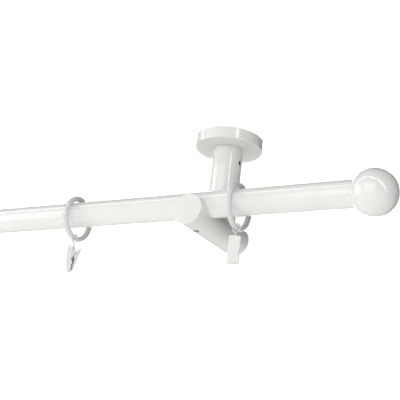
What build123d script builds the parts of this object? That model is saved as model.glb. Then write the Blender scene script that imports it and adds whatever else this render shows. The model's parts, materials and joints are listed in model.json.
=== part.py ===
"""Ceiling-mounted curtain rod with two arm brackets, ball finials and clip rings.

The rod runs along X, the room is towards -Y and the ceiling is the plane Z = 0. The origin lies on
the ceiling, midway between the two brackets, on the line through the centres of their stems.
Every piece is a separate solid, written to its own STEP file. Lengths are in millimetres.
"""

import os
from math import cos, radians, sin, sqrt, tau

from build123d import *

os.makedirs("parts", exist_ok=True)

# Rod and where it hangs
rod_diameter = 20.0
rod_wall = 1.2
rod_length = 760.0
rod_edge_chamfer = 0.3
rod_y = -32.5
rod_z = -66.4
bracket_span = 500.0

# Ball finials
ball_diameter = 33.2
ball_offset = 5.75
socket_clearance = 0.1
plug_length = 24.0
plug_clearance = 0.05
plug_barbs = 3
barb_ramp = 1.0
barb_depth = 0.6
barb_floor = 0.8
plug_nose_length = 1.5
plug_nose_depth = 1.2
finial_stud_diameter = 6.0
finial_stud_in_plug = 14.0
finial_stud_in_ball = 11.0
drill_allowance = 1.0

# Ceiling plate and cover
plate_diameter = 46.0
plate_thickness = 2.5
plate_edge_chamfer = 0.4
spigot_diameter = 14.0
spigot_end_z = -34.0
spigot_edge_chamfer = 0.8
screw_spacing = 35.0
screw_hole_diameter = 4.5
cover_diameter = 51.6
cover_height = 8.6
cover_wall = 1.2
cover_floor = 1.5
cover_bore_diameter = 14.6
cover_edge_radius = 0.7

# Stem and arm
stem_diameter = 23.0
stem_bore_diameter = 14.2
stem_bore_end_z = -36.0
stem_edge_chamfer = 0.3
stem_grub_z = -20.6
arm_diameter = 23.4
arm_drop = 8.0
arm_front_y = -48.7
arm_back_y = 26.3
arm_edge_radius = 0.7
saddle_clearance = 0.1
joint_gap = 0.02

# Screws
thread_clearance = 0.05
stem_grub_diameter = 4.0
stem_grub_length = 5.0
stem_grub_dimple = 1.4
rod_grub_diameter = 5.0
rod_grub_length = 8.0
joint_stud_diameter = 6.0
joint_stud_length = 20.0
joint_stud_in_arm = 10.0
screw_chamfer_share = 0.1
key_radius_share = 0.27
key_depth_share = 0.5

# Rings
ring_pitch = 141.6
ring_count = 5
ring_tube_diameter = 4.1
ring_mean_radius = 15.6
hang_gap = 0.3

# Wire hangers between ring and clip
wire_diameter = 0.9
eye_radius = 3.25
eye_sides = 12
eye_start_angle = -60.0
eye_corners = 11
eye_bend_share = 0.97
eye_last_bend_share = 0.75
eye_foot_share = 1.06
neck_top_bend = 0.7
neck_foot_bend = 2.0
loop_bend = 1.2
neck_end_z = -5.6
pin_drop = 13.05
loop_clearance = 0.10
loop_bottom_half_width = 1.47
loop_end = (0.78, -7.4)

# Clips, drawn from the hinge pin as (q, z): q points from the front jaw to the back jaw, z points up.
# A plate's outline is the middle line of its sheet; a cheek's outline starts and ends on that line.
sheet = 0.6
front_width = 8.5
back_width = 6.7
front_plate_line = [(-3.2, 6.05), (-2.8, 2.7), (-2.35, -5.0), (-1.05, -12.2), (-0.45, -13.8)]
front_cheek_outline = [
    (-2.7, 1.5),
    (0.0, 1.5),
    (0.0, -1.5),
    (-1.2, -5.0),
    (-0.55, -10.8),
    (-1.05, -12.2),
    (-2.35, -5.0),
]
back_plate_line = [(5.2, 4.65), (1.2, -12.1), (0.45, -13.8)]
back_cheek_outline = [(5.09, 4.2), (0.0, 1.5), (0.0, -1.5), (1.5, -5.0), (0.75, -10.8), (1.2, -12.1)]
corner_radius = 1.2
ear_radius = 1.5
pin_diameter = 1.4
pin_head_diameter = 2.3
pin_head_height = 0.35
pin_head_edge_radius = 0.2
pin_hole_clearance = 0.05
rivet_clearance = 0.02
spring_wire = 0.35
spring_mean_radius = 1.08
spring_turns = 4
spring_inner_v = 0.9
spring_rib_depth = 0.125
spring_sleeve_share = 0.6
spring_leg_inset_share = 0.7
spring_bend = 0.4
spring_front_rest = (-2.27, 2.6)
spring_back_rest = (4.2, 3.0)

# Angle about the vertical of each hanger's eye, of its loop, and of its clip, from square to the rod
eye_turns = [14.0, -18.0, 6.0, -27.0, -12.0]
loop_turns = [14.0, -18.0, 6.0, -27.0, 22.0]
clip_turns = [14.0, -24.0, 6.0, -37.0, 22.0]

rod_radius = rod_diameter / 2
arm_z = rod_z - arm_drop
arm_radius = arm_diameter / 2
ring_center_z = rod_z + rod_radius + hang_gap - (ring_mean_radius - ring_tube_diameter / 2)
ring_bottom_z = ring_center_z - ring_mean_radius
pin_z = ring_bottom_z - pin_drop


def save(part, name):
    """Label a finished piece and write it to its own STEP file."""
    part.label = name
    export_step(part, f"parts/{name}.step")


def axial_plane(x, y, z):
    """A plane whose normal is +X, with its local x along +Y and its local y along +Z."""
    return Plane(origin=(x, y, z), x_dir=(0, 1, 0), z_dir=(1, 0, 0))


def make_rod():
    """A round tube, open at both ends until the plugs go in."""
    with BuildPart() as rod:
        with BuildSketch(axial_plane(-rod_length / 2, rod_y, rod_z)):
            Circle(rod_radius)
            Circle(rod_radius - rod_wall, mode=Mode.SUBTRACT)
        extrude(amount=rod_length)
        rims = rod.edges().filter_by(GeomType.CIRCLE).group_by(SortBy.RADIUS)[-1]
        chamfer(rims, rod_edge_chamfer)
    return rod.part


def make_finial_ball(side):
    """A turned ball, bored to slip over the rod's end and drilled for its stud.

    Its half section is drawn as (distance beyond the rod's end, distance from the rod's axis).
    """
    end_x = side * rod_length / 2
    radius = ball_diameter / 2
    socket_radius = rod_radius + socket_clearance
    mouth = ball_offset - sqrt(radius**2 - socket_radius**2)
    stud_radius = finial_stud_diameter / 2 + thread_clearance
    drill_depth = finial_stud_in_ball + drill_allowance
    with BuildPart() as ball:
        with BuildSketch(Plane(origin=(end_x, rod_y, rod_z), x_dir=(side, 0, 0), z_dir=(0, -1, 0))):
            with BuildLine():
                Polyline(
                    (ball_offset + radius, 0),
                    (drill_depth, 0),
                    (drill_depth, stud_radius),
                    (socket_clearance, stud_radius),
                    (socket_clearance, socket_radius),
                    (mouth, socket_radius),
                )
                shoulder = radius * sqrt(0.5)
                ThreePointArc(
                    (mouth, socket_radius),
                    (ball_offset + shoulder, shoulder),
                    (ball_offset + radius, 0),
                )
            make_face()
        revolve(axis=Axis((end_x, rod_y, rod_z), (1, 0, 0)))
    return ball.part


def make_finial_plug(side):
    """A barbed plug, pressed into the tube and tapped for the finial's stud."""
    outer = rod_radius - rod_wall - plug_clearance
    inner = finial_stud_diameter / 2 + thread_clearance
    barb_pitch = plug_length / (plug_barbs + 1)
    groove = outer - barb_depth
    end_x = side * rod_length / 2
    with BuildPart() as plug:
        with BuildSketch(Plane(origin=(end_x, rod_y, rod_z), x_dir=(-side, 0, 0), z_dir=(0, -1, 0))):
            with BuildLine():
                points = [(0, inner), (0, outer)]
                for index in range(plug_barbs):
                    depth = (index + 1) * barb_pitch
                    points += [(depth - barb_ramp, outer), (depth, groove)]
                    points += [(depth + barb_floor, groove), (depth + barb_floor + barb_depth, outer)]
                points.append((plug_length - plug_nose_length, outer))
                points += [(plug_length, outer - plug_nose_depth), (plug_length, inner)]
                Polyline(*points, close=True)
            make_face()
        revolve(axis=Axis((end_x, rod_y, rod_z), (1, 0, 0)))
    return plug.part


def make_mounting_plate(x, side):
    """A round steel plate with two screw holes and a spigot that carries the stem."""
    with BuildPart() as plate:
        with BuildSketch(Plane(origin=(x, 0, -plate_thickness))):
            Circle(plate_diameter / 2)
        extrude(amount=plate_thickness)
        chamfer(plate.edges().group_by(Axis.Z)[0], plate_edge_chamfer)
        with BuildSketch(Plane(origin=(x, 0, spigot_end_z))):
            Circle(spigot_diameter / 2)
        extrude(amount=-spigot_end_z - plate_thickness)
        chamfer(plate.edges().group_by(Axis.Z)[0], spigot_edge_chamfer)
        with BuildSketch(Plane(origin=(x, 0, -plate_thickness))):
            with GridLocations(0, screw_spacing, 1, 2):
                Circle(screw_hole_diameter / 2)
        extrude(amount=plate_thickness, mode=Mode.SUBTRACT)
        dimple_x = x + side * (spigot_diameter / 2 - stem_grub_dimple)
        with BuildSketch(axial_plane(dimple_x, 0, stem_grub_z)):
            Circle(stem_grub_diameter / 2 + thread_clearance)
        extrude(amount=side * spigot_diameter / 2, mode=Mode.SUBTRACT)
    return plate.part


def make_flange_cover(x):
    """A shallow cup that hides the plate; the stem's top end holds it against the ceiling."""
    outer = cover_diameter / 2
    inner = outer - cover_wall
    bore = cover_bore_diameter / 2
    with BuildPart() as cover:
        with BuildSketch(Plane(origin=(x, 0, 0), x_dir=(1, 0, 0), z_dir=(0, -1, 0))):
            with BuildLine():
                Polyline(
                    (bore, -cover_height),
                    (outer, -cover_height),
                    (outer, 0),
                    (inner, 0),
                    (inner, -cover_height + cover_floor),
                    (bore, -cover_height + cover_floor),
                    close=True,
                )
            make_face()
        revolve(axis=Axis((x, 0, 0), (0, 0, 1)))
        lower_rim = cover.edges().filter_by(GeomType.CIRCLE).group_by(Axis.Z)[0].sort_by(SortBy.RADIUS)[-1]
        fillet(lower_rim, cover_edge_radius)
    return cover.part


def make_stem(x, side):
    """A round post, bored for the spigot and coped at its foot to sit on the arm."""
    with BuildPart() as stem:
        with BuildSketch(Plane(origin=(x, 0, -cover_height))):
            Circle(stem_diameter / 2)
        extrude(amount=arm_z + cover_height)
        chamfer(stem.edges().filter_by(GeomType.CIRCLE).group_by(Axis.Z)[-1], stem_edge_chamfer)
        with BuildSketch(Plane(origin=(x, 0, -cover_height))):
            Circle(stem_bore_diameter / 2)
        extrude(amount=stem_bore_end_z + cover_height, mode=Mode.SUBTRACT)
        with BuildSketch(Plane(origin=(x, 0, arm_z), x_dir=(1, 0, 0), z_dir=(0, -1, 0))):
            Circle(arm_radius + joint_gap)
        extrude(amount=stem_diameter, both=True, mode=Mode.SUBTRACT)
        with BuildSketch(Plane(origin=(x, 0, arm_z))):
            Circle(joint_stud_diameter / 2 + thread_clearance)
        stud_top_z = arm_z + arm_radius - joint_stud_in_arm + joint_stud_length
        extrude(amount=stud_top_z + drill_allowance - arm_z, mode=Mode.SUBTRACT)
        with BuildSketch(axial_plane(x, 0, stem_grub_z)):
            Circle(stem_grub_diameter / 2 + thread_clearance)
        extrude(amount=side * stem_diameter, mode=Mode.SUBTRACT)
    return stem.part


def make_arm(x):
    """A round bar whose cross hole breaks out at the top, so that it cradles the rod."""
    length = arm_back_y - arm_front_y
    with BuildPart() as arm:
        with BuildSketch(Plane(origin=(x, arm_back_y, arm_z), x_dir=(1, 0, 0), z_dir=(0, -1, 0))):
            Circle(arm_radius)
        extrude(amount=length)
        fillet(arm.edges().filter_by(GeomType.CIRCLE), arm_edge_radius)
        with BuildSketch(axial_plane(x, rod_y, rod_z)):
            Circle(rod_radius + saddle_clearance)
        extrude(amount=arm_diameter, both=True, mode=Mode.SUBTRACT)
        with BuildSketch(Plane(origin=(x, rod_y, rod_z))):
            Circle(rod_grub_diameter / 2 + thread_clearance)
        extrude(amount=-2 * rod_diameter, mode=Mode.SUBTRACT)
        drill_floor_z = arm_z + arm_radius - joint_stud_in_arm - drill_allowance
        with BuildSketch(Plane(origin=(x, 0, drill_floor_z))):
            Circle(joint_stud_diameter / 2 + thread_clearance)
        extrude(amount=arm_diameter, mode=Mode.SUBTRACT)
    return arm.part


def make_screw(plane, diameter, length):
    """A headless screw that runs from the plane along its normal, with a key socket at its far end."""
    with BuildPart() as screw:
        with BuildSketch(plane):
            Circle(diameter / 2)
        extrude(amount=length)
        chamfer(screw.edges().filter_by(GeomType.CIRCLE), diameter * screw_chamfer_share)
        with BuildSketch(plane.offset(length)):
            RegularPolygon(radius=diameter * key_radius_share, side_count=6)
        extrude(amount=-diameter * key_depth_share, mode=Mode.SUBTRACT)
    return screw.part


def make_ring(x):
    """A round ring of round bar, hanging on the rod."""
    with BuildPart() as ring:
        with Locations((x, rod_y, ring_center_z)):
            Torus(ring_mean_radius, ring_tube_diameter / 2, rotation=(0, 90, 0))
    return ring.part


def turned_plane(x, z, turn):
    """A level plane at a ring's place, turned about the vertical."""
    return Plane(origin=(x, rod_y, z), x_dir=(cos(radians(turn)), sin(radians(turn)), 0), z_dir=(0, 0, 1))


def make_hanger_wire(x, eye_turn, loop_turn):
    """A bent wire: a round eye about the ring, a neck, and a drop-shaped loop about the hinge pin.

    Each has its own turn about the neck, and at equal turns the loop lies at right angles to the
    eye. Each is a run of straight lines with a tangent arc at every corner.
    """
    eye_z = ring_tube_diameter / 2 + hang_gap + wire_diameter / 2 - eye_radius
    step = tau / eye_sides
    corner_reach = eye_radius / cos(step / 2)
    start = radians(eye_start_angle)
    eye_points = [(eye_radius * cos(start), 0, eye_z + eye_radius * sin(start))]
    for index in range(eye_corners - 1):
        angle = start + (index + 0.5) * step
        eye_points.append((corner_reach * cos(angle), 0, eye_z + corner_reach * sin(angle)))
    eye_bends = [eye_bend_share * eye_radius] * (eye_corners - 2) + [eye_last_bend_share * eye_radius]
    loop_bottom = -pin_drop - pin_diameter / 2 - loop_clearance - wire_diameter / 2
    loop_points = [
        (0, 0, eye_z - eye_radius * eye_foot_share),
        (0, 0, neck_end_z),
        (0, -loop_bottom_half_width, loop_bottom),
        (0, loop_bottom_half_width, loop_bottom),
        (0, *loop_end),
    ]
    radii = eye_bends + [neck_top_bend, neck_foot_bend, loop_bend, loop_bend]
    eye_plane = turned_plane(x, ring_bottom_z, eye_turn)
    loop_plane = turned_plane(x, ring_bottom_z, loop_turn)
    placed = [eye_plane.from_local_coords(Vector(*point)) for point in eye_points]
    placed += [loop_plane.from_local_coords(Vector(*point)) for point in loop_points]
    with BuildPart() as hanger:
        with BuildLine() as route:
            FilletPolyline(*placed, radius=radii)
        with BuildSketch(Plane(origin=route.line @ 0, z_dir=route.line % 0)):
            Circle(wire_diameter / 2)
        sweep(path=route.line)
    return hanger.part


def clip_plane(x, turn):
    """The clip's side plane: local x is q, towards the back jaw, and local y is up."""
    q = (-sin(radians(turn)), cos(radians(turn)), 0)
    v = (cos(radians(turn)), sin(radians(turn)), 0)
    return Plane(origin=(x, rod_y, pin_z), x_dir=q, z_dir=v)


def make_jaw(x, turn, width, plate_line, cheek_outline, pin_clearance):
    """One jaw of sheet steel: a bent plate with rounded lever corners, and a cheek on each side."""
    side_plane = clip_plane(x, turn)
    near_face = [(q - sheet / 2, z) for q, z in plate_line]
    far_face = [(q + sheet / 2, z) for q, z in plate_line]
    with BuildPart() as jaw:
        with BuildSketch(side_plane):
            with BuildLine():
                Polyline(*near_face, *reversed(far_face), close=True)
            make_face()
        extrude(amount=width / 2, both=True)
        lever_top = jaw.faces().sort_by(Axis.Z)[-1]
        fillet(lever_top.edges().sort_by(SortBy.LENGTH)[:2], corner_radius)
        for start in (-width / 2, width / 2 - sheet):
            with BuildSketch(side_plane.offset(start)):
                with BuildLine():
                    Polyline(*cheek_outline, close=True)
                make_face()
                Circle(ear_radius)
            extrude(amount=sheet)
        with BuildSketch(side_plane):
            Circle(pin_diameter / 2 + pin_clearance)
        extrude(amount=width, both=True, mode=Mode.SUBTRACT)
    return jaw.part


def make_clip_pin(x, turn):
    """The hinge pin, headed at both ends outside the front jaw's cheeks."""
    side_plane = clip_plane(x, turn)
    with BuildPart() as pin:
        with BuildSketch(side_plane):
            Circle(pin_diameter / 2)
        extrude(amount=front_width / 2, both=True)
        for sense in (-1, 1):
            with BuildSketch(side_plane.offset(sense * front_width / 2)):
                Circle(pin_head_diameter / 2)
            extrude(amount=sense * pin_head_height)
        end_faces = pin.faces().sort_by(Axis(side_plane.origin, side_plane.z_dir))
        fillet(end_faces[0].edges() + end_faces[-1].edges(), pin_head_edge_radius)
    return pin.part


def make_clip_spring(x, turn):
    """A double torsion spring: two close-wound coils on the pin, joined by a bridge on the front jaw.

    Each coil is a sleeve with one round rib for each turn, and its outer leg rests on the back jaw.
    """
    level = turned_plane(x, pin_z, turn)
    hinge_axis = Axis(level.origin, level.x_dir)
    outer_v = spring_inner_v + spring_turns * spring_wire
    bridge_v = spring_inner_v + spring_wire * spring_leg_inset_share
    leg_v = outer_v - spring_wire * spring_leg_inset_share
    crest = spring_mean_radius + spring_wire / 2
    valley = crest - spring_rib_depth
    bore = spring_mean_radius - spring_wire * spring_sleeve_share
    with BuildPart() as spring:
        for sense in (-1, 1):
            with BuildSketch(level):
                with BuildLine():
                    for index in range(spring_turns):
                        start = spring_inner_v + index * spring_wire
                        ThreePointArc(
                            (sense * start, valley),
                            (sense * (start + spring_wire / 2), crest),
                            (sense * (start + spring_wire), valley),
                        )
                    Polyline(
                        (sense * outer_v, valley),
                        (sense * outer_v, bore),
                        (sense * spring_inner_v, bore),
                        (sense * spring_inner_v, valley),
                    )
                make_face()
            revolve(axis=hinge_axis)
            foot = level.from_local_coords(Vector(sense * leg_v, spring_mean_radius, 0))
            tip_q, tip_z = spring_back_rest
            tip = level.from_local_coords(Vector(sense * leg_v, tip_q, tip_z))
            with BuildSketch(Plane(origin=foot, z_dir=tip - foot)):
                Circle(spring_wire / 2)
            extrude(amount=(tip - foot).length)
        rest_q, rest_z = spring_front_rest
        bridge = [
            (-bridge_v, -spring_mean_radius, 0),
            (-bridge_v, rest_q, rest_z),
            (bridge_v, rest_q, rest_z),
            (bridge_v, -spring_mean_radius, 0),
        ]
        placed = [level.from_local_coords(Vector(*point)) for point in bridge]
        with BuildLine() as route:
            FilletPolyline(*placed, radius=spring_bend)
        with BuildSketch(Plane(origin=route.line @ 0, z_dir=route.line % 0)):
            Circle(spring_wire / 2)
        sweep(path=route.line)
    return spring.part


save(make_rod(), "rod_tube")

for side_name, side in (("left", -1), ("right", 1)):
    bracket_x = side * bracket_span / 2
    grub_bottom = Plane(origin=(bracket_x, rod_y, rod_z - rod_radius), x_dir=(1, 0, 0), z_dir=(0, 0, -1))
    dimple_x = bracket_x + side * (spigot_diameter / 2 - stem_grub_dimple)
    grub_plane = Plane(origin=(dimple_x, 0, stem_grub_z), x_dir=(0, 1, 0), z_dir=(side, 0, 0))
    stud_plane = Plane(origin=(bracket_x, 0, arm_z + arm_radius - joint_stud_in_arm))
    finial_stud_x = side * (rod_length / 2 + finial_stud_in_ball)
    finial_plane = Plane(origin=(finial_stud_x, rod_y, rod_z), x_dir=(0, 1, 0), z_dir=(-side, 0, 0))
    finial_stud_length = finial_stud_in_ball + finial_stud_in_plug
    save(make_finial_ball(side), f"finial_ball_{side_name}")
    save(make_finial_plug(side), f"finial_plug_{side_name}")
    save(make_screw(finial_plane, finial_stud_diameter, finial_stud_length), f"finial_stud_{side_name}")
    save(make_mounting_plate(bracket_x, side), f"mounting_plate_{side_name}")
    save(make_flange_cover(bracket_x), f"flange_cover_{side_name}")
    save(make_stem(bracket_x, side), f"stem_{side_name}")
    save(make_arm(bracket_x), f"arm_{side_name}")
    save(make_screw(grub_plane, stem_grub_diameter, stem_grub_length), f"stem_grub_{side_name}")
    save(make_screw(grub_bottom, rod_grub_diameter, rod_grub_length), f"rod_grub_{side_name}")
    save(make_screw(stud_plane, joint_stud_diameter, joint_stud_length), f"joint_stud_{side_name}")

for index in range(ring_count):
    number = index + 1
    ring_x = (index - (ring_count - 1) / 2) * ring_pitch
    turn = clip_turns[index]
    front = make_jaw(ring_x, turn, front_width, front_plate_line, front_cheek_outline, rivet_clearance)
    back = make_jaw(ring_x, turn, back_width, back_plate_line, back_cheek_outline, pin_hole_clearance)
    save(make_ring(ring_x), f"ring_{number}")
    save(make_hanger_wire(ring_x, eye_turns[index], loop_turns[index]), f"hanger_wire_{number}")
    save(front, f"clip_front_jaw_{number}")
    save(back, f"clip_back_jaw_{number}")
    save(make_clip_pin(ring_x, turn), f"clip_pin_{number}")
    save(make_clip_spring(ring_x, turn), f"clip_spring_{number}")
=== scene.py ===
# %% [markdown]
# # A curtain rod hung from the ceiling, with ball finials and clip rings
#
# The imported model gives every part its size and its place. This script gives each part its
# look. The rod, the balls, the covers and everything on the clip rings get a finer surface, worked
# out here with numpy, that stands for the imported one. The others keep their shape and get a finish.

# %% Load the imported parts
import json
from math import atan, cos, radians, sin, tan, tau

import bmesh
import bpy
import numpy as np
from mathutils import Matrix, Vector


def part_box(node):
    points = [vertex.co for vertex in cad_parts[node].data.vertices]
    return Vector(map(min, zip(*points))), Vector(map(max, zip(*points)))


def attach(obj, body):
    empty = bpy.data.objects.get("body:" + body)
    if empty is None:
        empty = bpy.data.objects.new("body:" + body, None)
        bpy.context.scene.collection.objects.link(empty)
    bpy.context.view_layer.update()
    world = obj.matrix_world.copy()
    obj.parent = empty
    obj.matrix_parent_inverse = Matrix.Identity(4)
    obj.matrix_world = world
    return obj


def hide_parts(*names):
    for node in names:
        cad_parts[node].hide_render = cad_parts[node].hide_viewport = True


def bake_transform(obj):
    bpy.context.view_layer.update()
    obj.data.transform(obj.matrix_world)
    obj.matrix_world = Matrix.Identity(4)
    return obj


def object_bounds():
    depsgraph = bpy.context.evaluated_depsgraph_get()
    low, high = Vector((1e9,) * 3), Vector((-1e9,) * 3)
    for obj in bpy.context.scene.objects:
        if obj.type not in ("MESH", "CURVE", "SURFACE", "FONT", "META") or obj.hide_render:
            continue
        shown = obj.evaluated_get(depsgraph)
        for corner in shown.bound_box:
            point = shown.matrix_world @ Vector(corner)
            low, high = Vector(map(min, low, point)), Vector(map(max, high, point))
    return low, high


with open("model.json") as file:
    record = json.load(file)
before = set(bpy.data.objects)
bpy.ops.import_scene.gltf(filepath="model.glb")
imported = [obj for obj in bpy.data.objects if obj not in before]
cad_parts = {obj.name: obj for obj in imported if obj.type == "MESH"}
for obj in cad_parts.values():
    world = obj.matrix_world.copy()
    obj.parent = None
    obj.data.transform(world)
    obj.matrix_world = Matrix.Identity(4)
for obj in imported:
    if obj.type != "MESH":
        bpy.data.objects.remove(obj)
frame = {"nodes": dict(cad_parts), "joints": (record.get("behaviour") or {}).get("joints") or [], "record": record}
cad_low, cad_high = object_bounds()
MM = 0.001

# %% [markdown]
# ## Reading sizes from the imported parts
#
# A size that a box can give isn't typed again. The rod's box gives its radius and its axis, a ring's
# box gives its two radii, and so on. Each pivot comes from its joint, because that is where the part
# really turns. Walls, bends and outlines, which no box shows, are named values further on.

# %% Measure the rod, the brackets and the joints
SIDES = {"left": -1, "right": 1}
NUMBERS = range(1, 6)


def middle_and_size(node):
    """The centre of a node's box and its three edge lengths."""
    low, high = (np.array(corner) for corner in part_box(node))
    return (low + high) / 2, high - low


rod_middle, rod_size = middle_and_size("rod_tube")
rod_radius = rod_size[2] / 2
joints = {joint["name"]: joint for joint in frame["joints"]}
print("rod", round(rod_size[0] / MM, 1), "mm long, radius", round(rod_radius / MM, 2), "mm")

# %% [markdown]
# ## From a grid of points to a mesh
#
# Every new surface here is a rectangular grid of points, held as one numpy array with a row for
# each step along the shape and a column for each step around it. Neighbouring points make a
# four-sided face. A grid can be closed on itself both ways, as on a ring. Where a whole row
# falls on one point, as at the top of a ball, merging the doubles closes the pole.

# %% Turn grids into one mesh object


def grid_faces(rows, columns, close_rows, close_columns):
    """The corner numbers of each face: a point, its neighbour around, and the same two one row on."""
    row = np.arange(rows if close_rows else rows - 1)
    column = np.arange(columns if close_columns else columns - 1)
    r, c = np.meshgrid(row, column, indexing="ij")
    next_r, next_c = (r + 1) % rows, (c + 1) % columns
    corners = (r * columns + c, r * columns + next_c, next_r * columns + next_c, next_r * columns + c)
    return np.stack(corners, axis=-1).reshape(-1, 4)


def piece_from_grids(name, grids, smooth_angle=40.0):
    """One closed mesh made of several grids, each given as (points, close_rows, close_columns)."""
    vertices, faces, start = [], [], 0
    for points, close_rows, close_columns in grids:
        rows, columns = points.shape[:2]
        vertices.append(points.reshape(-1, 3))
        faces.append(grid_faces(rows, columns, close_rows, close_columns) + start)
        start += rows * columns
    mesh = bpy.data.meshes.new(name)
    mesh.from_pydata(np.concatenate(vertices), [], np.concatenate(faces).tolist())
    shape = bmesh.new()
    shape.from_mesh(mesh)
    bmesh.ops.remove_doubles(shape, verts=shape.verts, dist=1e-7)
    bmesh.ops.dissolve_degenerate(shape, edges=shape.edges, dist=1e-8)
    bmesh.ops.recalc_face_normals(shape, faces=shape.faces)
    shape.to_mesh(mesh)
    shape.free()
    mesh.shade_smooth()
    mesh.set_sharp_from_angle(angle=radians(smooth_angle))
    piece = bpy.data.objects.new(name, mesh)
    bpy.context.scene.collection.objects.link(piece)
    return piece


print("grid of 3 by 4 points has", len(grid_faces(3, 4, False, True)), "faces when closed around")

# %% [markdown]
# ## Outlines with rounded corners
#
# A turned part is drawn as half of its section, and a bent wire as the line through its middle.
# Both are corners joined by straight runs, with a round at each corner. The round is an arc
# that touches both runs, so one function serves flat outlines and bends in space alike.

# %% Round the corners of a line
def unit(vector):
    """The vector, or each vector of an array, at length one."""
    return vector / np.linalg.norm(vector, axis=-1, keepdims=True)


def rounded_line(corners, radii, steps=8, support=0.0):
    """Straight runs with an arc at each inner corner.

    The arc's centre lies on the line that halves the corner, radius / sin(half the corner) away.
    Its points turn evenly from one touching point to the other. A support point just outside each
    end of an arc keeps the shading of the straight run flat.
    """
    corners = np.array(corners, float)
    pieces = [corners[:1]]
    for before, corner, after, radius in zip(corners, corners[1:], corners[2:], radii):
        if radius <= 0:
            pieces.append(corner[None])
            continue
        back, on = unit(before - corner), unit(after - corner)
        half = np.arccos(np.clip(back @ on, -1, 1)) / 2
        reach = radius / np.tan(half)
        centre = corner + unit(back + on) * radius / np.sin(half)
        start, end = unit(corner + back * reach - centre), unit(corner + on * reach - centre)
        turn = np.pi - 2 * half
        share = np.linspace(0, 1, steps + 1)[:, None]
        arc = (np.sin((1 - share) * turn) * start + np.sin(share * turn) * end) / np.sin(turn)
        pieces.append(corner + back * (reach + support) if support else np.empty((0, corners.shape[1])))
        pieces.append(centre + radius * arc)
        pieces.append(corner + on * (reach + support) if support else np.empty((0, corners.shape[1])))
    pieces.append(corners[-1:])
    return np.concatenate([np.atleast_2d(piece) for piece in pieces])


OFF_AXIS = (0.31, 0.17, 0.93)


def turned(outline, origin, along, steps=128):
    """A surface of revolution: at angle a, the outline's (radius, height) point lies at
    origin + height * along + radius * (cos(a) * first + sin(a) * second).

    OFF_AXIS is a direction that no part is turned about, so crossing it gives first a length.
    """
    along = unit(np.array(along, float))
    first = unit(np.cross(along, OFF_AXIS))
    second = np.cross(along, first)
    angle = np.linspace(0, tau, steps, endpoint=False)[None, :, None]
    radius, height = outline[:, 0][:, None, None], outline[:, 1][:, None, None]
    return np.array(origin) + height * along + radius * (np.cos(angle) * first + np.sin(angle) * second)


corner_test = rounded_line([(0, 0), (1, 0), (1, 1)], [0.2])
print("a rounded corner has", len(corner_test), "points")

# %% [markdown]
# ## Powder coat
#
# The rod and its brackets are steel with a white powder coat. Powder is sprayed on dry and melted
# in an oven, so it flows almost flat and keeps a very fine dimpled skin, like the peel of an orange.
# The colour is a soft white that drifts a little from place to place, and so does the gloss.
# Object coordinates are in metres, so a scale of 900 makes dimples of about a millimetre.

# %% Make a coat of paint
def add_node(material, kind, **inputs):
    """A shader node with some of its sockets set."""
    node = material.node_tree.nodes.new(kind)
    for name, value in inputs.items():
        node.inputs[name.replace("_", " ")].default_value = value
    return node


def noise_field(material, scale, detail, roughness=0.5):
    """Noise that reads the piece's own coordinates."""
    links = material.node_tree.links
    place = add_node(material, "ShaderNodeTexCoord")
    noise = add_node(material, "ShaderNodeTexNoise", Scale=scale, Detail=detail, Roughness=roughness)
    links.new(place.outputs["Object"], noise.inputs["Vector"])
    return noise.outputs["Fac"]


def spread(material, value, low, high):
    """A field from 0.3 to 0.7 stretched to run from low to high."""
    node = add_node(material, "ShaderNodeMapRange")
    node.inputs["From Min"].default_value = 0.3
    node.inputs["From Max"].default_value = 0.7
    node.inputs["To Min"].default_value = low
    node.inputs["To Max"].default_value = high
    material.node_tree.links.new(value, node.inputs["Value"])
    return node.outputs["Result"]


def blend_colours(material, factor, first, second):
    """A colour that goes from first to second with the factor."""
    node = material.node_tree.nodes.new("ShaderNodeMix")
    node.data_type = "RGBA"
    node.inputs["A"].default_value = (*first, 1)
    node.inputs["B"].default_value = (*second, 1)
    material.node_tree.links.new(factor, node.inputs["Factor"])
    return node.outputs["Result"]


def new_finish(name, **constants):
    """A material with its main shader's own sockets set."""
    material = bpy.data.materials.new(name)
    material.use_nodes = True
    shader = material.node_tree.nodes["Principled BSDF"]
    for socket, value in constants.items():
        shader.inputs[socket.replace("_", " ")].default_value = value
    return material, shader


def bump(material, shader, height, distance, strength, under=None):
    """Raise the surface by a field; one bump can lie on another."""
    node = add_node(material, "ShaderNodeBump", Strength=strength, Distance=distance)
    material.node_tree.links.new(height, node.inputs["Height"])
    if under is not None:
        material.node_tree.links.new(under, node.inputs["Normal"])
    material.node_tree.links.new(node.outputs["Normal"], shader.inputs["Normal"])
    return node.outputs["Normal"]


DRIFT_SCALE = 42.0
SHEEN_SCALE = 160.0
WAVE_SCALE = 190.0
WAVE_HEIGHT = 0.00004


def coat_of_paint(name, light, dark, gloss, peel_scale, peel_height):
    """White paint: drifting colour, uneven gloss, a dimpled skin and a slower waviness under it."""
    material, shader = new_finish(name, Specular_IOR_Level=0.5, IOR=1.5)
    links = material.node_tree.links
    drift = spread(material, noise_field(material, DRIFT_SCALE, 3.0), 0.0, 1.0)
    links.new(blend_colours(material, drift, light, dark), shader.inputs["Base Color"])
    sheen = noise_field(material, SHEEN_SCALE, 4.0, 0.6)
    links.new(spread(material, sheen, gloss[0], gloss[1]), shader.inputs["Roughness"])
    wave = bump(material, shader, noise_field(material, WAVE_SCALE, 1.0), WAVE_HEIGHT, 0.35)
    bump(material, shader, noise_field(material, peel_scale, 2.0), peel_height, 0.6, wave)
    return material


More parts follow.
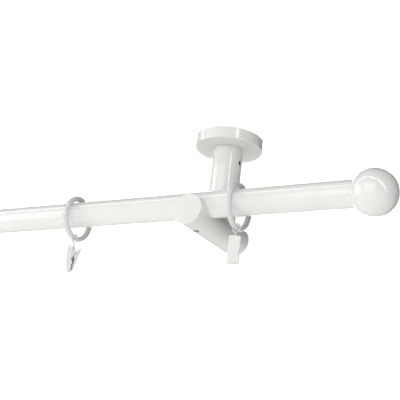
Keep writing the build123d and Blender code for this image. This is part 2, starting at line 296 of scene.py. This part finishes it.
white_coat = coat_of_paint(
    "white_coat", (0.80, 0.81, 0.78), (0.76, 0.77, 0.74), (0.07, 0.13),
    peel_scale=950.0, peel_height=0.000006
)
# The rings' paint is set greyer than the rod's white: this grey is painted shade, a middle value between their lit
# outer sides and their shaded insides.
ring_white = coat_of_paint(
    "ring_white", (0.68, 0.70, 0.68), (0.62, 0.645, 0.625), (0.16, 0.26),
    peel_scale=1500.0, peel_height=0.000008
)
clip_white = coat_of_paint(
    "clip_white", (0.77, 0.78, 0.75), (0.71, 0.72, 0.70), (0.34, 0.48),
    peel_scale=2600.0, peel_height=0.000016
)
wire_white = coat_of_paint(
    "wire_white", (0.72, 0.73, 0.71), (0.62, 0.63, 0.61), (0.25, 0.40),
    peel_scale=3200.0, peel_height=0.000008
)
print("coats:", white_coat.name, ring_white.name, clip_white.name, wire_white.name)

# %% [markdown]
# ## Bare and plated metals
#
# The spring is drawn steel wire, with a fine grain in its skin; the ceiling plates and studs are
# plated, with a blotched bloom; the set screws are black oxide, which is nearly matt and goes
# brown-grey in places. These are metal, so their colour is in the reflection. The clip's pin is a
# rivet that was painted after it was closed, and the plug is moulded, so both use the paint's
# function.

# %% Make the metal finishes and the plug's plastic
BLOTCH_SCALE = 260.0


def metal(name, light, dark, gloss, grain_scale, grain_height):
    """Metal with blotched colour and gloss, and a fine grain in its surface."""
    material, shader = new_finish(name, Metallic=1.0)
    links = material.node_tree.links
    blotch = spread(material, noise_field(material, BLOTCH_SCALE, 5.0, 0.65), 0.0, 1.0)
    links.new(blend_colours(material, blotch, light, dark), shader.inputs["Base Color"])
    links.new(spread(material, blotch, gloss[0], gloss[1]), shader.inputs["Roughness"])
    bump(material, shader, noise_field(material, grain_scale, 3.0), grain_height, 0.5)
    return material


spring_steel = metal(
    "spring_steel", (0.60, 0.60, 0.59), (0.42, 0.42, 0.42), (0.22, 0.38),
    grain_scale=5200.0, grain_height=0.000006
)
pin_steel = coat_of_paint(
    "pin_steel", (0.72, 0.73, 0.70), (0.64, 0.65, 0.62), (0.25, 0.40),
    peel_scale=3200.0, peel_height=0.000008
)
zinc_steel = metal(
    "zinc_steel", (0.66, 0.68, 0.70), (0.50, 0.52, 0.54), (0.28, 0.48),
    grain_scale=1800.0, grain_height=0.000010
)
black_screw = metal(
    "black_screw", (0.035, 0.034, 0.033), (0.075, 0.068, 0.06), (0.35, 0.6),
    grain_scale=3500.0, grain_height=0.000012
)
plug_plastic = coat_of_paint(
    "plug_plastic", (0.62, 0.62, 0.60), (0.55, 0.55, 0.53), (0.40, 0.55),
    peel_scale=1400.0, peel_height=0.000014
)
print("metals:", spring_steel.name, zinc_steel.name, black_screw.name)

FINISHES = {
    "white_coat": white_coat,
    "ring_white": ring_white,
    "clip_white": clip_white,
    "wire_white": wire_white,
    "spring_steel": spring_steel,
    "pin_steel": pin_steel,
    "zinc_steel": zinc_steel,
    "black_screw": black_screw,
    "plug_plastic": plug_plastic,
}


def place_piece(piece, slot, body, *nodes):
    """Paint a new piece, name its slot, hang it on its body, and let it stand for its nodes."""
    piece.data.materials.append(FINISHES[slot])
    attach(piece, body)
    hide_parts(*nodes)


# %% [markdown]
# ## The finish of the parts that keep their shape
#
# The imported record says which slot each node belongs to, so one loop paints them all. The parts that
# get a finer surface below are hidden when their new piece is placed.

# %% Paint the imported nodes
slot_of_node = {entry["node"]: entry["material_slot"] for entry in frame["record"]["subparts"]}
for node_name, node in frame["nodes"].items():
    node.data.materials.clear()
    node.data.materials.append(FINISHES[slot_of_node[node_name]])
print("painted", len(slot_of_node), "nodes")

# %% [markdown]
# ## The rod
#
# A welded steel tube, 1.2 mm thick, cut square and lightly deburred at both ends. It is turned from
# its section, wall and all, so an end with its finial off would show a real bore.

# %% Turn the rod
ROD_WALL = 1.2 * MM
rod_bore = rod_radius - ROD_WALL
rod_section = rounded_line(
    [
        (rod_bore, 0.0),
        (rod_bore, -rod_size[0] / 2),
        (rod_radius, -rod_size[0] / 2),
        (rod_radius, rod_size[0] / 2),
        (rod_bore, rod_size[0] / 2),
        (rod_bore, 0.0),
    ],
    [0.3 * MM, 0.35 * MM, 0.35 * MM, 0.3 * MM],
    support=0.2 * MM,
)
rod = piece_from_grids("rod", [(turned(rod_section[:-1], rod_middle, (1, 0, 0)), True, True)])
place_piece(rod, "white_coat", "root", "rod_tube")
print("rod:", len(rod.data.polygons), "faces")

# %% [markdown]
# ## The ball finials
#
# A ball is turned from a bar, with a socket that slips over the rod's end and a tapped hole for its
# stud. Its section is the half circle of the ball, then the socket's mouth with the fine lip that a
# lathe tool leaves, then the socket and the drilled hole, so one outline makes the whole solid.

# %% Turn both balls
SOCKET_CLEARANCE = 0.1 * MM
STUD_HOLE_RADIUS = 3.05 * MM
STUD_HOLE_DEPTH = 12.0 * MM
LIP_ROUND = 0.3 * MM
BALL_STEPS = 72


def ball_outline(ball_radius, offset):
    """(radius, distance beyond the rod's end): the hole's floor, the hole, the socket's floor and wall,
    a rounded lip, and then the ball's arc, radius * (sin a, cos a) about its centre, to its pole."""
    socket = rod_radius + SOCKET_CLEARANCE
    lip_angle = np.pi - np.arcsin((socket + 0.5 * LIP_ROUND) / ball_radius)
    angle = np.linspace(lip_angle, 0.0, BALL_STEPS)
    arc = np.stack([ball_radius * np.sin(angle), offset + ball_radius * np.cos(angle)], axis=1)
    mouth = arc[0, 1]
    bore = rounded_line(
        [
            (0.0, STUD_HOLE_DEPTH),
            (STUD_HOLE_RADIUS, STUD_HOLE_DEPTH),
            (STUD_HOLE_RADIUS, SOCKET_CLEARANCE),
            (socket, SOCKET_CLEARANCE),
            (socket, mouth + LIP_ROUND),
            arc[0],
        ],
        [0.4 * MM, 0.3 * MM, 0.4 * MM, 0.2 * MM],
        steps=4,
    )
    return np.concatenate([bore, arc[1:]])


for side_name, side in SIDES.items():
    ball_middle, ball_size = middle_and_size(f"finial_ball_{side_name}")
    ball_radius = ball_size[2] / 2
    rod_end = rod_middle + np.array([side * rod_size[0] / 2, 0.0, 0.0])
    far_side = ball_middle[0] + side * ball_size[0] / 2
    offset = abs(far_side - rod_end[0]) - ball_radius
    outline = ball_outline(ball_radius, offset)
    ball = piece_from_grids(f"ball_{side_name}", [(turned(outline, rod_end, (side, 0, 0)), False, True)])
    place_piece(ball, "white_coat", "root", f"finial_ball_{side_name}")
    print(ball.name, "radius", round(ball_radius / MM, 2), "mm,", len(ball.data.polygons), "faces")

# %% [markdown]
# ## The covers on the ceiling
#
# A cover is a shallow cup, drawn from sheet in a press. Drawing leaves a soft round where the side
# turns into the face. The bore is punched and deburred, so its edges are tighter, and the rim that
# meets the ceiling is rounded after trimming. All three are in the outline.

# %% Turn both covers
COVER_WALL = 1.2 * MM
COVER_FLOOR = 1.5 * MM
COVER_BORE_RADIUS = 7.3 * MM
for side_name in SIDES:
    cover_middle, cover_size = middle_and_size(f"flange_cover_{side_name}")
    outer, height = cover_size[0] / 2, cover_size[2]
    outline = rounded_line(
        [
            (COVER_BORE_RADIUS, -height + COVER_FLOOR / 2),
            (COVER_BORE_RADIUS, -height),
            (outer, -height),
            (outer, 0.0),
            (outer - COVER_WALL, 0.0),
            (outer - COVER_WALL, -height + COVER_FLOOR),
            (COVER_BORE_RADIUS, -height + COVER_FLOOR),
            (COVER_BORE_RADIUS, -height + COVER_FLOOR / 2),
        ],
        [0.15 * MM, 0.75 * MM, 0.35 * MM, 0.35 * MM, 0.5 * MM, 0.15 * MM],
        support=0.25 * MM,
    )
    top = cover_middle + np.array([0.0, 0.0, height / 2])
    cover = piece_from_grids(f"cover_{side_name}", [(turned(outline, top, (0, 0, 1), steps=160), True, True)])
    place_piece(cover, "white_coat", "root", f"flange_cover_{side_name}")
    print(cover.name, "across", round(2 * outer / MM, 1), "mm")

# %% [markdown]
# ## The rings
#
# A ring is round bar bent to a hoop and welded shut, then coated. Its surface is a torus: one angle
# goes round the hoop and the other round the bar. The weld is dressed by hand, so the bar is a
# fraction of a millimetre fuller there, and the weld sits at the top, where it rides on the rod.

# %% Roll the rings
WELD_FULLNESS = 0.05 * MM
WELD_WIDTH = 0.10


def ring_points(centre, mean_radius, bar_radius, steps=144, around=40):
    """A torus across X: hoop angle a, bar angle b, and a bar that swells by a bell curve at the weld."""
    a = np.linspace(0, tau, steps, endpoint=False)[:, None]
    b = np.linspace(0, tau, around, endpoint=False)[None, :]
    weld = WELD_FULLNESS * np.exp(-(((a - np.pi / 2) / WELD_WIDTH) ** 2)) * np.maximum(np.cos(b), 0)
    reach = mean_radius + (bar_radius - WELD_FULLNESS + weld) * np.cos(b)
    across = bar_radius * np.sin(b) + 0 * a
    return np.array(centre) + np.stack([across, reach * np.cos(a), reach * np.sin(a)], axis=-1)


for number in NUMBERS:
    ring_middle, ring_size = middle_and_size(f"ring_{number}")
    bar = ring_size[0] / 2
    points = ring_points(ring_middle, ring_size[2] / 2 - bar, bar)
    ring = piece_from_grids(f"hoop_{number}", [(points, True, True)])
    place_piece(ring, "ring_white", f"ring_{number}", f"ring_{number}")
print("rings:", round((ring_size[2] - 2 * bar) / MM, 2), "mm across the middle of the bar")

# %% [markdown]
# ## A wire along a line
#
# A bent wire is a circle carried along the line through its middle. At each point the circle needs
# two directions square to the line. Crossing the line's direction with a guide gives the first one,
# and crossing again gives the second. The guide may turn along the wire, as long as it never
# lies along it. The ends are closed by half balls, as a cut wire has after tumbling.

# %% Carry a circle along a line
def wire_points(line, guide, radius, around=20, cap_steps=6):
    """Rings of points: centre + r * (cos(a) * n + sin(a) * b), with n = line direction x guide and
    b = direction x n. Over a cap, the centre runs on by R * sin(c) and r shrinks to R * cos(c)."""
    direction = unit(np.gradient(line, axis=0))
    first = unit(np.cross(direction, guide))
    second = np.cross(direction, first)
    c = np.linspace(0, np.pi / 2, cap_steps + 1)[1:]
    centres = np.concatenate(
        [
            line[0] - direction[0] * radius * np.sin(c[::-1])[:, None],
            line,
            line[-1] + direction[-1] * radius * np.sin(c)[:, None],
        ]
    )
    widths = radius * np.concatenate([np.cos(c[::-1]), np.ones(len(line)), np.cos(c)])
    first = np.concatenate([np.repeat(first[:1], cap_steps, 0), first, np.repeat(first[-1:], cap_steps, 0)])
    second = np.concatenate(
        [np.repeat(second[:1], cap_steps, 0), second, np.repeat(second[-1:], cap_steps, 0)]
    )
    a = np.linspace(0, tau, around, endpoint=False)[None, :, None]
    round_it = np.cos(a) * first[:, None] + np.sin(a) * second[:, None]
    return centres[:, None] + widths[:, None, None] * round_it


def even_line(corner_points, step):
    """The same line with its points an even step apart, by its running length."""
    length = np.concatenate([[0], np.cumsum(np.linalg.norm(np.diff(corner_points, axis=0), axis=1))])
    stops = np.linspace(0, length[-1], int(length[-1] / step) + 2)
    return np.stack([np.interp(stops, length, column) for column in corner_points.T], axis=1)


# %% [markdown]
# ## The wire hangers
#
# One wire joins a ring to its clip. It starts beside the ring, runs round the bar as an open eye, drops
# as a short neck and ends as a drop-shaped loop about the clip's hinge pin. The loop is square to
# the eye, except on the last ring, where the neck is twisted further. The eye is a true arc, and
# an S-bend brings it to the neck on the ring's centre line.

# %% Bend the hanger wires
HANGER_WIRE_RADIUS = 0.45 * MM
PIN_RADIUS = 0.7 * MM
HANG_GAP = 0.3 * MM
EYE_RADIUS = 3.25 * MM
EYE_START = radians(-60.0)
EYE_END = radians(232.0)
EYE_STEPS = 64
NECK_CORNER = 1.06 * EYE_RADIUS
NECK_END = -5.6 * MM
NECK_TOP = -4.6 * MM
GUIDE_TURN_START = -3.6 * MM
GUIDE_TURN_END = -5.2 * MM
LOOP_GAP = 0.10 * MM
LOOP_HALF_WIDTH = 1.47 * MM
LOOP_TIP = (0.78 * MM, -7.4 * MM)
HANGER_STEP = 0.18 * MM


def hanger_line(bar, pin_drop):
    """The wire's middle line in its own frame: v across the ring's bar, q square to it, z up, with zero
    at the middle of the bar. The eye is (R cos a, 0, R sin a) about its own centre."""
    eye_middle = bar + HANG_GAP + HANGER_WIRE_RADIUS - EYE_RADIUS
    a = np.linspace(EYE_START, EYE_END, EYE_STEPS)
    eye = np.stack([EYE_RADIUS * np.cos(a), 0 * a, eye_middle + EYE_RADIUS * np.sin(a)], axis=1)
    bottom = -pin_drop - PIN_RADIUS - LOOP_GAP - HANGER_WIRE_RADIUS
    drop = rounded_line(
        [
            eye[-1],
            (0.0, 0.0, eye_middle - NECK_CORNER),
            (0.0, 0.0, NECK_END),
            (0.0, -LOOP_HALF_WIDTH, bottom),
            (0.0, LOOP_HALF_WIDTH, bottom),
            (0.0, *LOOP_TIP),
        ],
        [0.8 * MM, 2.0 * MM, 1.2 * MM, 1.2 * MM],
        steps=12,
    )
    return even_line(np.concatenate([eye, drop[1:]]), HANGER_STEP)


def own_frame(joint_name, turn):
    """The joint's place and the directions v, q and z of a piece turned about the vertical."""
    v = np.array([cos(turn), sin(turn), 0.0])
    return np.array(joints[joint_name]["pos_m"]), np.stack([v, np.cross((0, 0, 1), v), (0.0, 0.0, 1.0)])


def hanger_turn(number):
    """The eye's rest angle: its swivel runs as far one way as the other from square to the rod."""
    low, high = joints[f"hanger_{number}_swivel"]["range_deg"]
    return -radians(low + high) / 2


LOOP_TURNS = [radians(degrees) for degrees in (14.0, -18.0, 6.0, -27.0, 22.0)]

for number, loop_turn in zip(NUMBERS, LOOP_TURNS):
    pivot, axes = own_frame(f"hanger_{number}_swivel", hanger_turn(number))
    loop_axes = own_frame(f"hanger_{number}_swivel", loop_turn)[1]
    pin_place = np.array(joints[f"clip_{number}_swing"]["pos_m"])
    line = hanger_line(bar, pivot[2] - pin_place[2])
    in_loop = (line[:, 2] < NECK_TOP)[:, None]
    placed = pivot + np.where(in_loop, line @ loop_axes, line @ axes)
    past_start = (GUIDE_TURN_START - line[:, 2]) / (GUIDE_TURN_START - GUIDE_TURN_END)
    towards_loop = np.clip(past_start, 0, 1)[:, None]
    guide = (1 - towards_loop) * axes[1] + towards_loop * loop_axes[0]
    points = wire_points(placed, guide, HANGER_WIRE_RADIUS)
    hanger = piece_from_grids(f"hanger_{number}", [(points, False, True)])
    place_piece(hanger, "wire_white", f"hanger_{number}", f"hanger_wire_{number}")
print("hangers: lowest point", round(line[:, 2].min() / MM, 2), "mm from the middle of the bar")

# %% [markdown]
# ## Sheet metal with rounded edges
#
# A clip's jaws are pressed from thin sheet and then painted, so every edge is round. The shape is first
# given as the sheet's middle surface. Half the sheet's thickness is then added along the surface's
# own normal on one side and taken away on the other. Near an edge that half thickness falls as
# a quarter circle does, and the two skins meet in a round rim.

# %% Thicken a middle surface
RIM = np.sin(np.linspace(0, np.pi / 2, 6)[1:])


def rim_spacing(half_length, half_sheet, inner):
    """Places from -half_length to +half_length: even inside, and R * sin(c) over the last R at each rim.
    Returns the places and, for each, the share R * cos(c) / R of the sheet's thickness there."""
    even = np.linspace(0, 1, inner)
    flat = half_length - half_sheet
    out = np.concatenate([even * flat, flat + half_sheet * RIM], -1)
    share = np.concatenate([np.ones(inner), np.sqrt(np.maximum(1 - RIM**2, 0))])
    return np.concatenate([-out[..., :0:-1], out], -1), np.concatenate([share[:0:-1], share])


def thick_sheet(middle, share, half_sheet):
    """Two skins at middle +/- half_sheet * share * normal, joined in one loop around each row."""
    down, across = np.gradient(middle, axis=0), np.gradient(middle, axis=1)
    offset = half_sheet * share[..., None] * unit(np.cross(down, across))
    return np.concatenate([middle + offset, (middle - offset)[:, -2:0:-1]], axis=1)


print("a rim has", len(RIM), "steps")

# %% [markdown]
# ## The jaws of a clip
#
# Each jaw is one folded sheet: a plate with a cheek on both sides. Seen from the side, the plate's line
# bends outwards at the top as a finger lever and inwards at the lips. A cheek grows from nothing
# under the lever to an ear about the pin, and tapers off towards the lips. Unrolled, a jaw is
# flat: u runs across it, and past the plate's half width u runs round a small bend and on
# down the cheek. The bend opens out flat where there is no cheek.

# %% Fold the front and back jaws
SHEET = 0.6 * MM
BEND = 0.45 * MM
EAR_RADIUS = 1.5 * MM
LEVER_CORNER = 1.2 * MM
JAW_STEP = 0.11 * MM
JAW_ROWS = 64
JAW_COLUMNS = 40
NO_CHEEK = -1.0
NEARLY_FLAT = 1e-3
JAWS = {
    "front": {
        "width": 8.5,
        "sense": 1.0,
        "plate": [(-3.2, 6.05), (-2.8, 2.7), (-2.35, -5.0), (-1.05, -12.2), (-0.45, -13.77)],
        "bends": [6.0, 12.0, 12.0, 1.2],
        "cheek": [(-1.05, -12.2), (-0.55, -10.8), (-1.2, -5.0), (0.0, -1.5), (0.0, 1.5), (-2.72, 1.85)],
    },
    "back": {
        "width": 6.7,
        "sense": -1.0,
        "plate": [(5.2, 4.65), (1.2, -12.1), (0.45, -13.77)],
        "bends": [1.2],
        "cheek": [(1.2, -12.1), (0.75, -10.8), (1.5, -5.0), (0.0, -1.5), (0.0, 1.5), (5.09, 4.2)],
    },
}


def jaw_points(width, sense, plate, bends, cheek):
    """Middle surface of a jaw as (v, q, z), and its thickness share.

    depth = distance from the plate to the cheek's edge at the same height, where the ear adds
    sqrt(R^2 - z^2). half length = half width where flat, plus bend and cheek where folded. Above and
    below the cheek its edge is set to NO_CHEEK, far behind the plate, so its depth there is zero.
    """
    half_sheet = SHEET / 2
    bent = rounded_line(np.array(plate) * MM, [bend * MM for bend in bends], steps=10)
    line = even_line(bent, JAW_STEP)
    run = np.linalg.norm(np.diff(line, axis=0), axis=1).sum()
    stops, row_share = rim_spacing(run / 2, half_sheet, JAW_ROWS)
    length = np.linspace(0, run, len(line))
    q = np.interp(stops + run / 2, length, line[:, 0])
    z = np.interp(stops + run / 2, length, line[:, 1])
    edge_q, edge_z = np.array(cheek).T * MM
    edge = np.interp(z, edge_z, sense * edge_q, left=NO_CHEEK, right=NO_CHEEK)
    ear = np.where(abs(z) < EAR_RADIUS, np.sqrt(np.maximum(EAR_RADIUS**2 - z**2, 0)), NO_CHEEK)
    edge = np.maximum(edge, ear)
    depth = np.clip(edge - sense * q, 0, None)
    folded = np.clip(depth / (2 * BEND), 0, 1)
    flat_half = width * MM / 2
    bend_start = flat_half - half_sheet - BEND
    arc = BEND * np.pi / 2
    half_length = np.where(folded >= 1, bend_start + arc + depth - BEND, flat_half + folded * (arc - BEND))
    corner = np.clip(LEVER_CORNER - (stops + run / 2), 0, LEVER_CORNER)
    half_length = half_length - (LEVER_CORNER - np.sqrt(LEVER_CORNER**2 - corner**2))
    u, column_share = rim_spacing(half_length[:, None], half_sheet, JAW_COLUMNS)
    over = np.clip(abs(u) - bend_start, 0, None)
    turn = np.maximum(folded, NEARLY_FLAT)[:, None] / BEND
    on_bend = np.minimum(over, arc)
    past = over - on_bend
    end_angle = turn * on_bend
    v = np.minimum(abs(u), bend_start) + np.sin(end_angle) / turn + past * np.cos(end_angle)
    sunk = (1 - np.cos(end_angle)) / turn + past * np.sin(end_angle)
    middle = np.stack([np.sign(u) * v, q[:, None] + sense * sunk, z[:, None] + 0 * u], axis=-1)
    return middle, row_share[:, None] * column_share[None, :], half_sheet


def clip_turn(number):
    """The clip's rest angle, from the direction of its hinge."""
    axis = joints[f"clip_{number}_swing"]["axis"]
    return atan(axis[1] / axis[0])


for number in NUMBERS:
    pivot, axes = own_frame(f"clip_{number}_swing", clip_turn(number))
    for which, body in (("front", f"clip_{number}"), ("back", f"jaw_{number}")):
        middle, share, half_sheet = jaw_points(**JAWS[which])
        points = pivot + thick_sheet(middle, share, half_sheet) @ axes
        jaw = piece_from_grids(f"{which}_jaw_{number}", [(points, False, True)])
        place_piece(jaw, "clip_white", body, f"clip_{which}_jaw_{number}")
print("jaws:", len(jaw.data.polygons), "faces each")

# %% [markdown]
# ## The hinge pin
#
# A rivet: a shank through both pairs of cheeks, with a low head pressed up at each end outside the
# front jaw. It is turned about the hinge's own axis.

# %% Turn the pins
HEAD_RADIUS = 1.15 * MM
HEAD_HEIGHT = 0.35 * MM
half_clip = JAWS["front"]["width"] * MM / 2
pin_half = [
    (PIN_RADIUS, 0.0),
    (PIN_RADIUS, half_clip),
    (HEAD_RADIUS, half_clip),
    (HEAD_RADIUS, half_clip + HEAD_HEIGHT),
    (0.0, half_clip + HEAD_HEIGHT),
]
pin_end = rounded_line(pin_half, [0.05 * MM, 0.06 * MM, 0.26 * MM], steps=6)
pin_outline = np.concatenate([pin_end[::-1] * (1, -1), pin_end[1:]])
for number in NUMBERS:
    swing = joints[f"clip_{number}_swing"]
    points = turned(pin_outline, swing["pos_m"], swing["axis"], steps=40)
    pin = piece_from_grids(f"pin_{number}", [(points, False, True)])
    place_piece(pin, "pin_steel", f"clip_{number}", f"clip_pin_{number}")
print("pins:", round(2 * (half_clip + HEAD_HEIGHT) / MM, 2), "mm long")

# %% [markdown]
# ## The spring
#
# A double torsion spring is one piece of wire: a leg on the back jaw, a coil, a bridge that presses on the
# front jaw, a second coil and a second leg. A coil is a helix about the pin, r * cos(a) and
# r * sin(a) with v growing evenly with a. The bridge and each leg meet a coil along its tangent, so
# a coil starts and ends at the angles whose tangents pass through their resting points. When the
# clip opens, the legs go with the back jaw and the bridge stays; here the wire is one fixed piece, at rest.

# %% Wind the springs
SPRING_WIRE = 0.35 * MM
COIL_RADIUS = 1.08 * MM
COIL_START = 1.03 * MM
COIL_PITCH = SPRING_WIRE * 1.02
COIL_TURNS = 3
COIL_STEPS = 150
LEG_REST = (4.2 * MM, 3.0 * MM)
BRIDGE_REST = (-2.27 * MM, 2.6 * MM)
BRIDGE_BEND = 0.45 * MM
SPRING_STEP = 0.09 * MM


def tangent_angle(rest, side):
    """The coil angle whose tangent passes through a point: the point's own angle, plus or minus the
    angle whose cosine is the coil's radius over the point's distance."""
    q, z = rest
    return np.arctan2(z, q) + side * np.arccos(COIL_RADIUS / np.hypot(q, z))


def spring_line():
    """Half of the spring from the middle of the bridge outwards, then mirrored in v, as (v, q, z)."""
    from_bridge = tangent_angle(BRIDGE_REST, 1)
    to_leg = tangent_angle(LEG_REST, -1) + tau * (COIL_TURNS + 1)
    a = np.linspace(from_bridge, to_leg, COIL_STEPS)
    v = COIL_START + COIL_PITCH * (a - from_bridge) / tau
    coil = np.stack([v, COIL_RADIUS * np.cos(a), COIL_RADIUS * np.sin(a)], axis=1)
    bridge = rounded_line(
        [(0.0, *BRIDGE_REST), (COIL_START, *BRIDGE_REST), coil[0]], [BRIDGE_BEND], steps=10
    )
    leg = np.array([[v[-1], *LEG_REST]])
    half = np.concatenate([bridge[1:], coil[1:], leg])
    whole = np.concatenate([half[::-1] * (-1, 1, 1), half])
    return even_line(whole, SPRING_STEP)


middle_line = spring_line()
away_from_pin = middle_line * (0, 1, 1)
for number in NUMBERS:
    pivot, axes = own_frame(f"clip_{number}_swing", clip_turn(number))
    placed, guide = pivot + middle_line @ axes, away_from_pin @ axes
    points = wire_points(placed, guide, SPRING_WIRE / 2, around=12, cap_steps=4)
    spring = piece_from_grids(f"spring_{number}", [(points, False, True)])
    spring.data.materials.append(spring_steel)
    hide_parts(f"clip_spring_{number}")
    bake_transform(spring)
wire_length = len(middle_line) * SPRING_STEP
print("springs:", len(middle_line), "stations along", round(wire_length / MM, 1), "mm of wire")

# %% [markdown]
# ## Studio
#
# Three large soft panels stand in front, to the left and behind on the left. Two narrow strips meet
# above the rod, and their reflection is the bent bright line on each ball and the bands along the
# rod. The pale floor glows a little, so undersides stay light. No large panel stands at the right, so
# each round part turns greyer there. The strengths are round values.

# %% Set up the surroundings, the floor and the panels
BACKDROP_WHITE = 1.02
scene = bpy.context.scene
world = bpy.data.worlds.new("studio")
scene.world = world
world.use_nodes = True
tree = world.node_tree
background = tree.nodes["Background"]
background.inputs["Color"].default_value = (0.0, 0.0, 0.0, 1)
seen = tree.nodes.new("ShaderNodeBackground")
seen.inputs["Color"].default_value = (1, 1, 1, 1)
seen.inputs["Strength"].default_value = BACKDROP_WHITE
choose = tree.nodes.new("ShaderNodeMixShader")
path = tree.nodes.new("ShaderNodeLightPath")
tree.links.new(path.outputs["Is Camera Ray"], choose.inputs["Fac"])
tree.links.new(background.outputs["Background"], choose.inputs[1])
tree.links.new(seen.outputs["Background"], choose.inputs[2])
tree.links.new(choose.outputs["Shader"], tree.nodes["World Output"].inputs["Surface"])

FLOOR_DROP = 0.75
FLOOR_GLOW = 0.45
FLOOR_REACH = 4.0
floor_mesh = bpy.data.meshes.new("floor")
floor_height = cad_low.z - FLOOR_DROP
floor_corners = ((-1, -1), (1, -1), (1, 1), (-1, 1))
floor_mesh.from_pydata(
    [(x * FLOOR_REACH, y * FLOOR_REACH, floor_height) for x, y in floor_corners], [], [(0, 1, 2, 3)]
)
floor = bpy.data.objects.new("floor", floor_mesh)
scene.collection.objects.link(floor)
floor_paint, floor_shader = new_finish("floor_paint")
floor_drift = spread(floor_paint, noise_field(floor_paint, 3.0, 2.0), 0.0, 1.0)
floor_paint.node_tree.links.new(
    blend_colours(floor_paint, floor_drift, (0.86, 0.86, 0.85), (0.82, 0.82, 0.81)),
    floor_shader.inputs["Base Color"],
)
floor_paint.node_tree.links.new(
    spread(floor_paint, noise_field(floor_paint, 8.0, 2.0), 0.6, 0.8), floor_shader.inputs["Roughness"]
)
floor_shader.inputs["Emission Color"].default_value = (1.0, 1.0, 0.98, 1)
floor_shader.inputs["Emission Strength"].default_value = FLOOR_GLOW
floor.data.materials.append(floor_paint)


bracket_middle = Vector(middle_and_size("arm_right")[0])


def panel(name, offset, width, height, watts):
    """A soft white panel that faces the bracket and isn't seen by the camera itself."""
    light = bpy.data.lights.new(name, "AREA")
    light.shape = "RECTANGLE"
    light.size, light.size_y, light.energy = width, height, watts
    lamp = bpy.data.objects.new(name, light)
    lamp.location = bracket_middle + Vector(offset)
    lamp.rotation_euler = (bracket_middle - lamp.location).to_track_quat("-Z", "Y").to_euler()
    lamp.visible_camera = False
    scene.collection.objects.link(lamp)
    return lamp


STRIP_DISTANCE = 1.3
STRIP_WIDTH = 0.15


def strip(name, first, last, watts):
    """A long panel that reaches from one direction to another, as seen from the bracket."""
    first, last = Vector(first).normalized(), Vector(last).normalized()
    middle = (first + last).normalized()
    along = (last - first).normalized()
    length = 2 * STRIP_DISTANCE * tan(first.angle(last) / 2)
    lamp = panel(name, STRIP_DISTANCE * middle, length, STRIP_WIDTH, watts)
    lamp.rotation_euler = Matrix((along, middle.cross(along), middle)).transposed().to_euler()


panel("front_panel", (0.1, -1.4, 0.1), width=1.4, height=1.0, watts=9.0)
panel("left_panel", (-1.2, -0.7, 0.1), width=1.0, height=1.0, watts=8.0)
panel("back_panel", (-0.7, 1.1, 0.4), width=1.0, height=1.0, watts=15.0)
above, right_side, left_side = (0.0, -0.6, 0.8), (1.0, -0.2, -0.1), (-0.9, -0.1, 0.4)
strip("right_strip", above, right_side, watts=9.0)
strip("left_strip", left_side, above, watts=4.0)

# %% [markdown]
# ## Camera
#
# The camera stands below the rod and to its right, looks up and to the left, and is tilted a little
# about its own line of sight. A long lens keeps the rod's edges nearly parallel.

# %% Place the camera
CAMERA_TURN, CAMERA_PITCH, CAMERA_ROLL = radians(31.8), radians(19.7), radians(7.2)
CAMERA_DISTANCE = 0.821
AIM_ABOVE_ROD = 4.6 * MM
LENS = 101.0
lens = bpy.data.cameras.new("camera")
lens.lens = LENS
lens.sensor_width = 36.0
lens.clip_start, lens.clip_end = 0.05, 50.0
camera = bpy.data.objects.new("camera", lens)
forward = Vector(
    (-sin(CAMERA_TURN) * cos(CAMERA_PITCH), cos(CAMERA_TURN) * cos(CAMERA_PITCH), sin(CAMERA_PITCH))
)
level = forward.cross((0, 0, 1)).normalized()
up = level.cross(forward) * cos(CAMERA_ROLL) - level * sin(CAMERA_ROLL)
right = forward.cross(up)
aim = Vector((bracket_middle.x, rod_middle[1], rod_middle[2] + AIM_ABOVE_ROD))
place = aim - CAMERA_DISTANCE * forward
camera.matrix_world = Matrix.Translation(place) @ Matrix((right, up, -forward)).transposed().to_4x4()
scene.collection.objects.link(camera)
scene.camera = camera
scene.view_settings.view_transform = "Standard"
print("camera looks", [round(value, 3) for value in forward])
